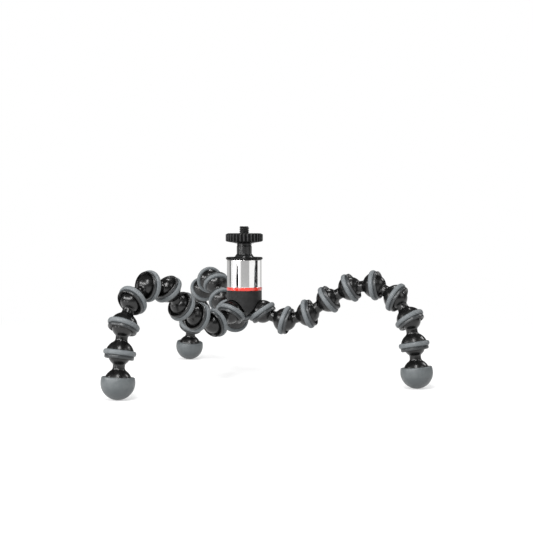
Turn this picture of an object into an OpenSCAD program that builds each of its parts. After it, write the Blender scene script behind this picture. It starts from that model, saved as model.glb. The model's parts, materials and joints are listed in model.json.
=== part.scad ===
// Flexible leg tripod with a small ball head.
// Three legs of ball and cup links hang from one hub, and each link can be bent against the next.
// Lengths are millimetres. The origin lies on the camera screw's axis, on the seat, with +Z up.

/* [Camera screw] */
// Major diameter of the camera screw
screw_d = 6.35; // [5:0.05:8]
// Height of the screw above the seat
screw_h = 4.5; // [3.5:0.1:6]
// Height of the lead-in chamfer at the screw's tip
screw_tip = 0.5; // [0.2:0.1:1]

// Diameter of the shank below the screw, which the wheel turns on
shank_d = 7.4; // [7:0.1:9]

/* [Lock wheel] */
// Diameter over the ribs
wheel_d = 24; // [20:0.5:28]
// Height of the ribbed rim
wheel_rim_h = 5.4; // [4:0.2:8]
// Height of the cone under the rim
wheel_cone_h = 1; // [0.6:0.1:2]
// Width of the cone's foot around the stem
wheel_foot = 1.2; // [0.5:0.1:2]
// Number of ribs
wheel_ribs = 30; // [24:1:36]
// Depth of the grooves between the ribs
rib_depth = 0.6; // [0.3:0.05:0.8]
// Width of a groove
rib_groove = 1.3; // [0.8:0.05:1.6]

/* [Ball head] */
// Diameter of the stem
stem_d = 9.7; // [8:0.1:10]
// Length of the stem that shows between the wheel and the ball
stem_h = 6.9; // [4:0.1:12]
// Diameter of the head's ball
head_ball_d = 14; // [13:0.1:15]
// Diameter of the top collar
collar_d = 23.7; // [22.5:0.1:26]
// Thickness of the top collar
collar_h = 1.7; // [1:0.1:2.5]
// Height of the collar's top above the ball's centre
collar_rise = 3.1; // [2.6:0.1:3.4]
// Diameter of the clamp sleeve
sleeve_d = 22.2; // [21:0.1:22.4]
// Length of the clamp sleeve
sleeve_l = 17.6; // [16:0.1:24]
// Wall of the clamp sleeve
sleeve_wall = 1.5; // [1:0.1:2]
// Diameter of the accent ring
accent_d = 22.9; // [22:0.1:24]
// Height of the accent ring
accent_h = 2; // [1:0.1:3]
// Diameter of the post that carries the ball's seat
post_d = 15.6; // [12:0.1:17]
// Thickness of the seat under the ball
seat_floor = 3.6; // [2:0.1:5]

/* [Hub] */
// Diameter of the hub's housing
housing_d = 22.5; // [21:0.1:24]
// Thickness of the housing's top wall
housing_roof = 2.8; // [2:0.1:4]
// Diameter of the core that joins the three hub cups
core_d = 11; // [9:0.1:12]
// Depth of the hub cups' centres below the housing's top
cup_drop = 14.3; // [12:0.1:15]
// Distance of the hub cups' centres from the axis
cup_spread = 12.3; // [12:0.1:14]
// Angle of the hub cups' mouths below the horizontal
cup_dive = 55; // [50:1:60]
// Angle that the housing's scallops flare at
scallop_flare = 17; // [5:1:20]

/* [Leg links] */
// Distance from one cup's centre to the next
link_pitch = 16; // [15.5:0.1:18]
// Diameter of a link's ball
ball_d = 13; // [12.4:0.1:13.2]
// Diameter of the neck at its waist
neck_d = 7; // [5.5:0.1:7.2]
// Length of the neck's straight stretch
neck_l = 1.2; // [0.8:0.1:1.4]
// Radius of the blend between the ball and the neck
neck_blend = 1.5; // [0.8:0.1:2]
// Diameter of the dome behind the cup
dome_d = 16.4; // [16:0.1:16.6]
// Height of the mouth's edge above the cup's centre
mouth_rise = 1.3; // [1.1:0.05:1.6]
// Diameter of the lip around the mouth
lip_d = 17; // [16.6:0.1:17.4]
// Height of the lip above the grip ring
lip_h = 2.2; // [2:0.1:2.4]
// Radius of the lip's outer edge
lip_round = 0.9; // [0.4:0.1:1]

/* [Grip rings] */
// Outer diameter of a rubber grip ring
grip_d = 18.8; // [18:0.1:19.2]
// Width of a grip ring
grip_w = 3.1; // [2.9:0.1:3.2]
// Distance of a ring's hub side behind the cup's centre
grip_back = 2.5; // [2.3:0.05:2.6]
// Diameter of the groove that the ring sits in
grip_seat_d = 14.8; // [14.6:0.1:15]
// Radius of a ring's outer edges
grip_round = 1.3; // [0.6:0.1:1.4]

/* [Feet] */
// Diameter of the rubber foot
foot_d = 19.8; // [18:0.1:22]
// Distance from the last cup's centre to the foot's centre
foot_reach = 16; // [15.6:0.1:20]
// Diameter of the dome inside the rubber foot
foot_dome_d = 16.2; // [15.6:0.1:16.6]
// Height of the rubber's rim above the foot's centre
foot_rim = 3.2; // [1.5:0.1:3.6]
// Thickness of the rubber sole
foot_sole = 4.5; // [3:0.1:7]
// Radius of the rim's edges
foot_round = 0.6; // [0.2:0.1:0.8]

/* [Clearances] */
// Gap between a ball and its socket
socket_gap = 0.1; // [0.08:0.01:0.15]
// Gap around a turning fit
run_gap = 0.1; // [0.08:0.01:0.2]
// Gap around a fixed fit
seat_gap = 0.05; // [0.04:0.01:0.1]
// Gap between the housing and the hub cups' domes
pocket_gap = 0.5; // [0.2:0.05:0.8]
// Gap between the housing and the hub's grip rings
scallop_gap = 2.2; // [1:0.1:2.4]

/* [Hidden] */
$fn = 96;
// Straight stretches that make up the round of a hub cup's pocket
POCKET_STEPS = 10;
// Height of a pocket's cut in front of the cup's centre, and of the housing's blank below it
POCKET_FRONT = 6;
HEM = 2;
// Names of the legs, the azimuths of their hub cups, and the links of each
LEGS = ["left", "right", "rear"];
HUB_AZIMUTH = [-135, -15, 105];
LINKS = 8;
FOOT = LINKS + 1;
// Photographed pose: each link's azimuth and its angle above the horizontal, hub to foot
AZIMUTH = [
    [-130, -131, -129, -132, -130, -125, -124, -127, -129],
    [-15, -16, -16, -18, -22, -29, -35, -37, -37],
    [106, 108, 110, 110, 111, 114, 120, 124, 126]
];
ELEVATION = [
    [-19, 18, 28, 43, 8, -29, -62, -79, -85],
    [-17, 18, 36, 28, 6, -28, -55, -79, -84],
    [-24, 13, 30, 42, 5, -29, -57, -56, -82]
];
// The right leg sets the standing height, and one link of each leg is turned to reach it
STANDARD = 1;
LEVEL_LINK = 6;

// Radii
screw_r = screw_d / 2;
shank_r = shank_d / 2;
stem_r = stem_d / 2;
head_ball_r = head_ball_d / 2;
ball_r = ball_d / 2;
socket_r = ball_r + socket_gap;
neck_r = neck_d / 2;
dome_r = dome_d / 2;
lip_r = lip_d / 2;
grip_r = grip_d / 2;
grip_seat_r = grip_seat_d / 2;
foot_r = foot_d / 2;
foot_dome_r = foot_dome_d / 2;
sleeve_bore_r = sleeve_d / 2 - sleeve_wall;

// Levels, from the camera seat down
wheel_base_z = -wheel_rim_h - wheel_cone_h;
head_ball_z = wheel_base_z - stem_h - sqrt(pow(head_ball_r, 2) - pow(stem_r, 2));
collar_top_z = head_ball_z + collar_rise;
sleeve_top_z = collar_top_z - collar_h;
accent_top_z = sleeve_top_z - sleeve_l;
housing_top_z = accent_top_z - accent_h;
seat_base_z = head_ball_z - head_ball_r - socket_gap - seat_floor;
core_top_z = housing_top_z - housing_roof;
cup_z = housing_top_z - cup_drop;

// Levels along a cup's own axis, from its centre towards the mouth
grip_top = grip_w - grip_back;
lip_top = grip_top + lip_h;
mouth_r = sqrt(pow(socket_r, 2) - pow(mouth_rise, 2));

// Unit vector at an elevation and an azimuth
function heading(e, a) = [cos(e) * cos(a), cos(e) * sin(a), sin(e)];

// Length of a leg's step i, and the height that the steps from i on gain
function step_l(i) = i == FOOT ? foot_reach : link_pitch;
function climb(angles, i, skip) =
    i > FOOT ? 0 : (i == skip ? 0 : step_l(i) * sin(angles[i - 1])) + climb(angles, i + 1, skip);

// Elevation of step i of leg k, with the levelling link worked out from the standing height
function elevation(k, i) =
    i == LEVEL_LINK
    ? asin((climb(ELEVATION[STANDARD], 1, 0) - climb(ELEVATION[k], 1, LEVEL_LINK)) / link_pitch)
    : ELEVATION[k][i - 1];
function azimuth(k, i) = i == 0 ? HUB_AZIMUTH[k] : AZIMUTH[k][i - 1];
function along(k, i) = i == 0 ? heading(-cup_dive, HUB_AZIMUTH[k]) : heading(elevation(k, i), azimuth(k, i));

// Centre of cup i of leg k, where cup 0 is the hub's and cup FOOT is the foot's centre
function centre(k, i) =
    i == 0
    ? [cup_spread * cos(HUB_AZIMUTH[k]), cup_spread * sin(HUB_AZIMUTH[k]), cup_z]
    : centre(k, i - 1) + step_l(i) * along(k, i);

// Moves children from a cup's own axis, with +Z towards the mouth, to cup i of leg k
module at_cup(k, i) {
    lean = i == 0 ? 90 + cup_dive : 90 - elevation(k, i);
    translate(centre(k, i)) rotate([0, lean, azimuth(k, i)]) children();
}

// Right half of a disc about the origin
module half_disc(r) {
    intersection() {
        circle(r);
        translate([0, -r]) square([r, 2 * r]);
    }
}

// Half outline of a ball at y = -reach and of its neck, which flares into a bulb about the origin
module ball_and_neck(reach, bulb_r) {
    waist = sqrt(pow(ball_r + neck_blend, 2) - pow(neck_r + neck_blend, 2));
    run = reach - waist - neck_l;
    flare = (pow(run, 2) - pow(bulb_r, 2) + pow(neck_r, 2)) / (2 * (bulb_r - neck_r));
    ball_turn = atan2(waist, neck_r + neck_blend);
    bulb_turn = atan2(-run, neck_r + flare);
    waist_y = waist - reach;
    translate([0, -reach]) half_disc(ball_r);
    difference() {
        polygon([
            [0, -reach],
            [ball_r * cos(ball_turn), ball_r * sin(ball_turn) - reach],
            [neck_r, waist_y],
            [0, waist_y]
        ]);
        translate([neck_r + neck_blend, waist_y]) circle(neck_blend);
    }
    translate([0, waist_y]) square([neck_r, neck_l]);
    difference() {
        polygon([[0, -run], [neck_r, -run], [bulb_r * cos(bulb_turn), bulb_r * sin(bulb_turn)], [0, 0]]);
        translate([neck_r + flare, -run]) circle(flare);
    }
}

// Half outline of a cup: dome, groove for the grip ring, lip and socket. Children join the dome from behind
module cup() {
    difference() {
        union() {
            half_disc(dome_r);
            square([lip_r - lip_round, lip_top]);
            square([lip_r, lip_top - lip_round]);
            translate([lip_r - lip_round, lip_top - lip_round]) circle(lip_round);
            children();
        }
        translate([grip_seat_r, -grip_back - seat_gap]) square([lip_r, grip_w + 2 * seat_gap]);
        half_disc(socket_r);
        polygon([[0, mouth_rise], [mouth_r, mouth_rise], [mouth_r + lip_r, mouth_rise + lip_r], [0, mouth_rise + lip_r]]);
    }
}

module grip_ring() {
    turn_r = grip_r - grip_round;
    rotate_extrude()
        difference() {
            union() {
                translate([0, -grip_back]) square([turn_r, grip_w]);
                translate([0, grip_round - grip_back]) square([grip_r, grip_w - 2 * grip_round]);
                translate([turn_r, grip_round - grip_back]) circle(grip_round);
                translate([turn_r, grip_top - grip_round]) circle(grip_round);
            }
            translate([0, -grip_w]) square([grip_seat_r + seat_gap, 2 * grip_w]);
        }
}

module leg_link(k, i) {
    color([0.07, 0.07, 0.075])
        at_cup(k, i)
        rotate_extrude()
        cup() ball_and_neck(link_pitch, dome_r);
}

module link_ring(k, i) {
    color([0.30, 0.32, 0.34]) at_cup(k, i) grip_ring();
}

// Foot of leg k: the moulded link and the rubber over its dome are two solids
module leg_foot(k) {
    core_flat = foot_r - foot_sole;
    rim_r = sqrt(pow(foot_r - foot_round, 2) - pow(foot_rim - foot_round, 2));
    at_cup(k, FOOT) {
        color([0.07, 0.07, 0.075])
            rotate_extrude()
            difference() {
                union() {
                    half_disc(foot_dome_r);
                    ball_and_neck(foot_reach, foot_dome_r);
                }
                translate([0, core_flat]) square(foot_r);
            }
        color([0.33, 0.36, 0.37])
            rotate_extrude()
            difference() {
                union() {
                    difference() {
                        half_disc(foot_r);
                        translate([0, -foot_r]) square([foot_r, foot_r - foot_rim + foot_round]);
                    }
                    translate([0, -foot_rim]) square([rim_r, foot_rim]);
                    translate([rim_r, foot_round - foot_rim]) circle(foot_round);
                }
                difference() {
                    half_disc(foot_dome_r + seat_gap);
                    translate([0, core_flat + seat_gap]) square(foot_r);
                }
            }
    }
}

module hub_grip_rings() {
    color([0.30, 0.32, 0.34])
        for (k = [0:len(LEGS) - 1])
            at_cup(k, 0) grip_ring();
}

// The three hub cups and the core that joins them
module leg_spider() {
    color([0.07, 0.07, 0.075])
        union() {
            translate([0, 0, cup_z]) cylinder(d = core_d, h = core_top_z - cup_z);
            for (k = [0:len(LEGS) - 1])
                at_cup(k, 0) rotate_extrude() cup();
        }
}

// The housing: a cylinder with a post on top, cut back behind each hub cup's dome and grip ring
module hub_housing() {
    pocket_r = dome_r + pocket_gap;
    cut_back = grip_back + scallop_gap;
    edge_turn = -asin(cut_back / pocket_r);
    flare_y = (housing_d - pocket_r * cos(edge_turn)) * tan(scallop_flare) - cut_back;
    color([0.20, 0.20, 0.21])
        difference() {
            union() {
                translate([0, 0, cup_z - HEM]) cylinder(d = housing_d, h = cup_drop + HEM);
                translate([0, 0, housing_top_z]) cylinder(d = post_d, h = seat_base_z - housing_top_z);
            }
            translate([0, 0, cup_z - 2 * cup_drop])
                cylinder(d = core_d + 2 * run_gap, h = core_top_z - cup_z + 2 * cup_drop);
            for (k = [0:len(LEGS) - 1])
                at_cup(k, 0)
                    rotate_extrude()
                    polygon(concat(
                        [for (t = [0:POCKET_STEPS]) let (a = -90 + (90 + edge_turn) * t / POCKET_STEPS)
                            [pocket_r * cos(a), pocket_r * sin(a)]],
                        [[housing_d, flare_y], [housing_d, POCKET_FRONT], [0, POCKET_FRONT]]
                    ));
        }
}

module accent_ring() {
    color([0.90, 0.22, 0.17])
        translate([0, 0, housing_top_z])
        difference() {
            cylinder(d = accent_d, h = accent_h);
            translate([0, 0, -accent_h]) cylinder(d = post_d + 2 * seat_gap, h = 3 * accent_h);
        }
}

module clamp_sleeve() {
    color([0.80, 0.80, 0.80])
        translate([0, 0, accent_top_z])
        difference() {
            cylinder(d = sleeve_d, h = sleeve_l);
            translate([0, 0, -sleeve_l]) cylinder(r = sleeve_bore_r, h = 3 * sleeve_l);
        }
}

// Thin collar with a round seat that keeps the ball down
module top_collar() {
    edge = collar_h / 2;
    color([0.06, 0.06, 0.06])
        translate([0, 0, head_ball_z])
        rotate_extrude()
        difference() {
            union() {
                translate([0, collar_rise - collar_h]) square([collar_d / 2 - edge, collar_h]);
                translate([collar_d / 2 - edge, collar_rise - edge]) circle(edge);
            }
            half_disc(head_ball_r + socket_gap);
        }
}

// Cup that the head's ball turns in, standing on the housing's post
module ball_seat() {
    color([0.45, 0.45, 0.45])
        translate([0, 0, head_ball_z])
        rotate_extrude()
        difference() {
            translate([0, seat_base_z - head_ball_z])
                square([sleeve_bore_r - run_gap, head_ball_z - run_gap - seat_base_z]);
            half_disc(head_ball_r + socket_gap);
        }
}

// Head ball, stem, shank and camera screw, turned from one bar
module ball_stem() {
    color([0.06, 0.06, 0.06])
        rotate_extrude() {
            translate([0, head_ball_z]) half_disc(head_ball_r);
            translate([0, head_ball_z]) square([stem_r, wheel_base_z - head_ball_z]);
            translate([0, wheel_base_z]) square([shank_r, -wheel_base_z]);
            polygon([
                [0, 0],
                [screw_r, 0],
                [screw_r, screw_h - screw_tip],
                [screw_r - screw_tip, screw_h],
                [0, screw_h]
            ]);
        }
}

// Ribbed wheel that turns on the shank, on the stem's shoulder
module lock_wheel() {
    color([0.06, 0.06, 0.06])
        difference() {
            union() {
                translate([0, 0, -wheel_rim_h])
                    linear_extrude(wheel_rim_h)
                    difference() {
                        circle(d = wheel_d);
                        for (k = [0:wheel_ribs - 1])
                            rotate(360 * k / wheel_ribs)
                                translate([wheel_d / 2 - rib_depth, -rib_groove / 2])
                                square([wheel_d, rib_groove]);
                    }
                translate([0, 0, wheel_base_z])
                    cylinder(r1 = stem_r + wheel_foot, r2 = wheel_d / 2 - rib_depth, h = wheel_cone_h);
            }
            translate([0, 0, 2 * wheel_base_z]) cylinder(r = shank_r + run_gap, h = -4 * wheel_base_z);
        }
}

lock_wheel();
ball_stem();
ball_seat();
top_collar();
clamp_sleeve();
accent_ring();
hub_housing();
leg_spider();
hub_grip_rings();
for (k = [0:len(LEGS) - 1]) {
    for (i = [1:LINKS]) {
        leg_link(k, i);
        link_ring(k, i);
    }
    leg_foot(k);
}
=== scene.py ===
"""Looks of a flexible leg tripod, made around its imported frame.

Sizes are written in millimetres and turn into metres where a mesh is made. The frame is in metres.
"""

import json
import logging
import math
from collections.abc import Callable, Iterator
from contextlib import contextmanager
from dataclasses import dataclass, field
from enum import Enum

import bmesh
import bpy
from mathutils import Matrix, Vector


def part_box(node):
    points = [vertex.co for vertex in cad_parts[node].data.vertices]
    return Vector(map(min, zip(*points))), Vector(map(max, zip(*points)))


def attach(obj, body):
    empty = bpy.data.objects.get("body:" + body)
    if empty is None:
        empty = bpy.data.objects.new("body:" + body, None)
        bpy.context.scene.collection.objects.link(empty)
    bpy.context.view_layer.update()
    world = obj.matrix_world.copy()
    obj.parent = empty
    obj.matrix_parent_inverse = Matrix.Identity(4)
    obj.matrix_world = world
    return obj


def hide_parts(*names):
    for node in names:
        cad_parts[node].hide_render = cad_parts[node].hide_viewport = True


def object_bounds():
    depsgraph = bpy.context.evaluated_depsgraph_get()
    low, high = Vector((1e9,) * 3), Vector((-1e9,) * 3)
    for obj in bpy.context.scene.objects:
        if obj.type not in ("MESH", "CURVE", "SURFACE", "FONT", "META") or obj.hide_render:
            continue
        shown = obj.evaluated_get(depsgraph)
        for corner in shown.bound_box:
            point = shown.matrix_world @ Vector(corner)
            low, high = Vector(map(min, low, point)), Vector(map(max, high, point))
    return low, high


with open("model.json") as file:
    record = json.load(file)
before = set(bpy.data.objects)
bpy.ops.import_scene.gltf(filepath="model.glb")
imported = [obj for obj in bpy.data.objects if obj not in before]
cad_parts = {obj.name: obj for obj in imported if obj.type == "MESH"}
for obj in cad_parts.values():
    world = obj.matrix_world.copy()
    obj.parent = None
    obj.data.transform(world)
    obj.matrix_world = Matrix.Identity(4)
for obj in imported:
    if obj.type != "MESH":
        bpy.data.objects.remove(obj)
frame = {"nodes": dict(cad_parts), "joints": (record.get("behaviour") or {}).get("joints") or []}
CAD_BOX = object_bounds()

LOG = logging.getLogger("tripod")
Outline = list[tuple[float, float]]
Colour = tuple[float, float, float]
Piece = bpy.types.Object
Socket = bpy.types.NodeSocket
Tree = bpy.types.NodeTree

MM = 0.001
SEGMENTS = 72
FINE_SEGMENTS = 144
MERGE_DISTANCE = 0.002 * MM
HOLD_LENGTH = 1.3
HOLD_STEP = 0.08
LEVEL_TOLERANCE = 0.01
SMOOTH_ANGLE = math.radians(32)
COAT_ROUGHNESS = 0.06
OWN_AXES = "own_axes"
WHITE: Colour = (1.0, 1.0, 1.0)

# Largest turn between two points of a round stretch, in degrees
SKIN_STEP = 4.0
BALL_STEP = 5.0
ARC_STEP = 6.0
BORE_STEP = 8.0
FILLET_STEP = 10.0
LIP_STEP = 12.0
EDGE_STEP = 15.0
TINY_STEP = 30.0


class Slot(Enum):
    """Material slots of the record."""

    WHEEL = "wheel_plastic"
    STEM = "stem_metal"
    SEAT = "seat_plastic"
    COLLAR = "collar_plastic"
    SLEEVE = "sleeve_metal"
    ACCENT = "accent_plastic"
    HOUSING = "housing_plastic"
    LINK = "link_plastic"
    GRIP = "grip_rubber"
    FOOT = "foot_rubber"


class Side(Enum):
    """The three legs, by the names that their bodies and nodes start with."""

    LEFT = "left"
    RIGHT = "right"
    REAR = "rear"


class Effect(Enum):
    """Surface effects that more than one finish uses, each one shader node group."""

    CLOUDS = "clouds"
    GRAIN = "grain"
    TURNING = "turning_marks"
    RIM_WEAR = "rim_wear"
    BAND = "band"


# Outlines and meshes


def arc(
    centre: tuple[float, float], radius: float, start: float, end: float, step: float = ARC_STEP
) -> Outline:
    """Return points along an arc.

    Args:
        centre: Radius and height of the arc's centre.
        radius: Radius of the arc.
        start: First angle in degrees, counted from the outward direction towards +Z.
        end: Last angle in degrees.
        step: Largest turn between two points, in degrees.

    Returns:
        The points, with both ends.
    """
    count = max(2, math.ceil(abs(end - start) / step))
    angles = [math.radians(start + (end - start) * i / count) for i in range(count + 1)]
    return [(centre[0] + radius * math.cos(a), centre[1] + radius * math.sin(a)) for a in angles]


def held(outline: Outline) -> Outline:
    """Add a point close to both ends of each long stretch, so that shading stays flat along it.

    Args:
        outline: Points as radius and height.

    Returns:
        The same outline with the added points.
    """
    points = outline[:1]
    for here, there in zip(outline, outline[1:]):
        start, end = Vector(here), Vector(there)
        length = (end - start).length
        if length > HOLD_LENGTH:
            step = (end - start) * (HOLD_STEP / length)
            points += [tuple(start + step), tuple(end - step)]
        points.append(there)
    return points


def deselect() -> None:
    """Leave object mode's selection empty."""
    bpy.ops.object.select_all(action="DESELECT")


def select_only(piece: Piece) -> None:
    """Make one object the only selected one, and the active one.

    Args:
        piece: The object.
    """
    deselect()
    piece.select_set(True)
    bpy.context.view_layer.objects.active = piece


def named(name: str) -> Piece:
    """Name the object that was just added.

    Args:
        name: Name of the object and of its mesh.

    Returns:
        The object.
    """
    piece = bpy.context.object
    piece.name = piece.data.name = name
    return piece


@contextmanager
def editing(piece: Piece) -> Iterator[None]:
    """Keep one object in edit mode for a block, which starts with all of its vertices selected.

    Args:
        piece: The object.

    Returns:
        The context that the block runs in.
    """
    select_only(piece)
    bpy.ops.object.mode_set(mode="EDIT")
    bpy.ops.mesh.select_mode(type="VERT")
    bpy.ops.mesh.select_all(action="SELECT")
    yield
    bpy.ops.object.mode_set(mode="OBJECT")


def close_mesh() -> None:
    """In edit mode, merge doubles, drop loose edges and turn all faces outwards."""
    bpy.ops.mesh.select_all(action="SELECT")
    bpy.ops.mesh.remove_doubles(threshold=MERGE_DISTANCE)
    bpy.ops.mesh.delete_loose(use_verts=True, use_edges=True, use_faces=False)
    bpy.ops.mesh.select_all(action="SELECT")
    bpy.ops.mesh.normals_make_consistent(inside=False)


def settle(piece: Piece) -> None:
    """Shade a piece smooth, and store its vertices' places for patterns that follow its own axes.

    Args:
        piece: The finished piece, with its axis along Z.
    """
    select_only(piece)
    bpy.ops.object.shade_smooth_by_angle(angle=SMOOTH_ANGLE)
    mesh = piece.data
    places = [0.0] * (3 * len(mesh.vertices))
    mesh.vertices.foreach_get("co", places)
    store = mesh.attributes.get(OWN_AXES) or mesh.attributes.new(OWN_AXES, "FLOAT_VECTOR", "POINT")
    store.data.foreach_set("vector", places)


def chain(name: str, outline: Outline) -> Piece:
    """Lay a chain of edges along an outline in the XZ plane.

    Args:
        name: Name of the new object.
        outline: Points as radius and height, in millimetres.

    Returns:
        The new object, in object mode.
    """
    deselect()
    radius, height = outline[0]
    bpy.ops.mesh.primitive_plane_add(size=MM, location=(radius * MM, 0.0, height * MM))
    piece = named(name)
    bpy.ops.object.transform_apply(location=True, rotation=True, scale=True)
    with editing(piece):
        bpy.ops.mesh.merge(type="CENTER")
        for here, there in zip(outline, outline[1:]):
            step = ((there[0] - here[0]) * MM, 0.0, (there[1] - here[1]) * MM)
            bpy.ops.mesh.extrude_vertices_move(TRANSFORM_OT_translate={"value": step})
    return piece


def turned(name: str, outline: Outline, segments: int = SEGMENTS) -> Piece:
    """Turn an outline through a full circle about the Z axis.

    Args:
        name: Name of the new object.
        outline: Points as radius and height, in millimetres. It ends on the axis or where it starts.
        segments: Number of steps around the axis.

    Returns:
        The closed mesh object at the origin.
    """
    piece = chain(name, held(outline))
    with editing(piece):
        bpy.ops.mesh.spin(steps=segments, angle=math.tau, center=(0, 0, 0), axis=(0, 0, 1))
        close_mesh()
    settle(piece)
    return piece


def placed_copy(pattern: Piece, name: str, place: Matrix) -> Piece:
    """Copy a pattern with a mesh of its own and lay it in its place.

    Args:
        pattern: The piece that is copied.
        name: Name of the copy.
        place: Where the pattern's own axes go.

    Returns:
        The copy, at the origin with its place in its mesh.
    """
    select_only(pattern)
    bpy.ops.object.duplicate()
    copy = named(name)
    copy.matrix_world = place
    bpy.ops.object.transform_apply(location=True, rotation=True, scale=True)
    return copy


def discard(*pieces: Piece) -> None:
    """Remove patterns and cutters that are no longer needed."""
    for piece in pieces:
        bpy.data.objects.remove(piece)


def modify(piece: Piece, kind: str, **settings: object) -> None:
    """Put a modifier on a piece and apply it.

    Args:
        piece: The piece.
        kind: The modifier's type.
        settings: Properties of the modifier, by name.
    """
    select_only(piece)
    modifier = piece.modifiers.new(kind.lower(), kind)
    for key, value in settings.items():
        setattr(modifier, key, value)
    bpy.ops.object.modifier_apply(modifier=modifier.name)


def aimed(origin: Vector, direction: Vector) -> Matrix:
    """Return the matrix that lays own axes at an origin, with +Z along a direction."""
    return Matrix.Translation(origin) @ direction.to_track_quat("Z", "Y").to_matrix().to_4x4()


def pivot(body: str) -> Vector:
    """Return the point that a body of the frame turns about, in metres."""
    return next(Vector(joint["pos_m"]) for joint in frame["joints"] if joint["child"] == body)


def span(node: str) -> tuple[float, float, float]:
    """Return the radius, the base and the top of a node about the Z axis, in millimetres."""
    low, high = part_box(node)
    return high.x / MM, low.z / MM, high.z / MM


# Shader groups


class Wiring:
    """Adds nodes to one node tree and feeds their inputs."""

    def __init__(self, tree: Tree) -> None:
        """Keep the tree that nodes are added to."""
        self.tree = tree

    @classmethod
    def fresh(cls, owner: bpy.types.Material | bpy.types.World) -> "Wiring":
        """Start the nodes of a material or world anew.

        Args:
            owner: The material or world.

        Returns:
            The wiring of its empty node tree.
        """
        owner.use_nodes = True
        owner.node_tree.nodes.clear()
        return cls(owner.node_tree)

    def add(
        self, kind: str, inputs: dict[str | int, object] | None = None, **settings: object
    ) -> bpy.types.Node:
        """Add a node, set its properties and feed its inputs.

        Args:
            kind: The node's type name.
            inputs: Sockets that are linked or values that are set, by the input's name or number.
            settings: Properties of the node, by name.

        Returns:
            The new node.
        """
        node = self.tree.nodes.new(kind)
        for key, value in settings.items():
            setattr(node, key, value)
        for key, value in (inputs or {}).items():
            if isinstance(value, Socket):
                self.tree.links.new(value, node.inputs[key])
            else:
                node.inputs[key].default_value = value
        return node

    def math(self, operation: str, first: Socket | float, second: Socket | float) -> Socket:
        """Return the result of an operation on two sockets or numbers."""
        return self.add("ShaderNodeMath", {0: first, 1: second}, operation=operation).outputs[0]

    def ramp(
        self, value: Socket, low: Socket | float, high: Socket | float, start: float = 0.0, end: float = 1.0
    ) -> Socket:
        """Map a value smoothly from one range to another.

        Args:
            value: The socket that is mapped.
            low: Value that gives start.
            high: Value that gives end.
            start: Result at and below low.
            end: Result at and above high.

        Returns:
            The mapped socket.
        """
        inputs = dict(enumerate((value, low, high, start, end)))
        return self.add("ShaderNodeMapRange", inputs, interpolation_type="SMOOTHSTEP").outputs[0]

    def mix_colours(self, mask: Socket, under: Socket | tuple, over: Socket | tuple) -> Socket:
        """Return the colour under a mask where it is 0, and the colour over it where it is 1."""
        return self.add("ShaderNodeMix", {0: mask, 6: under, 7: over}, data_type="RGBA").outputs[2]

    def mix_values(self, mask: Socket, under: Socket | float, over: Socket | float) -> Socket:
        """Return the value under a mask where it is 0, and the value over it where it is 1."""
        return self.add("ShaderNodeMix", {0: mask, 2: under, 3: over}, data_type="FLOAT").outputs[0]

    def object_places(self) -> Socket:
        """Return the Object coordinates."""
        return self.add("ShaderNodeTexCoord").outputs["Object"]

    def noise(self, scale: Socket | float, detail: float, roughness: float = 0.5) -> Socket:
        """Return noise on the Object coordinates.

        Args:
            scale: Patches per metre.
            detail: Number of finer layers.
            roughness: Strength of the finer layers.

        Returns:
            The noise's value.
        """
        inputs = {"Vector": self.object_places(), "Scale": scale, "Detail": detail, "Roughness": roughness}
        return self.add("ShaderNodeTexNoise", inputs).outputs["Fac"]

    def length(self, vector: Socket) -> Socket:
        """Return the length of a vector."""
        return self.add("ShaderNodeVectorMath", {0: vector}, operation="LENGTH").outputs["Value"]

    def own_axes(self) -> tuple[Socket, Socket]:
        """Read a piece's own axes.

        Returns:
            The radius about the piece's own axis and the height along it, in metres.
        """
        places = self.add("ShaderNodeAttribute", attribute_name=OWN_AXES)
        parts = self.add("ShaderNodeSeparateXYZ", {0: places.outputs["Vector"]}).outputs
        across = self.add("ShaderNodeCombineXYZ", {"X": parts["X"], "Y": parts["Y"]})
        return self.length(across.outputs[0]), parts["Z"]


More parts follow.
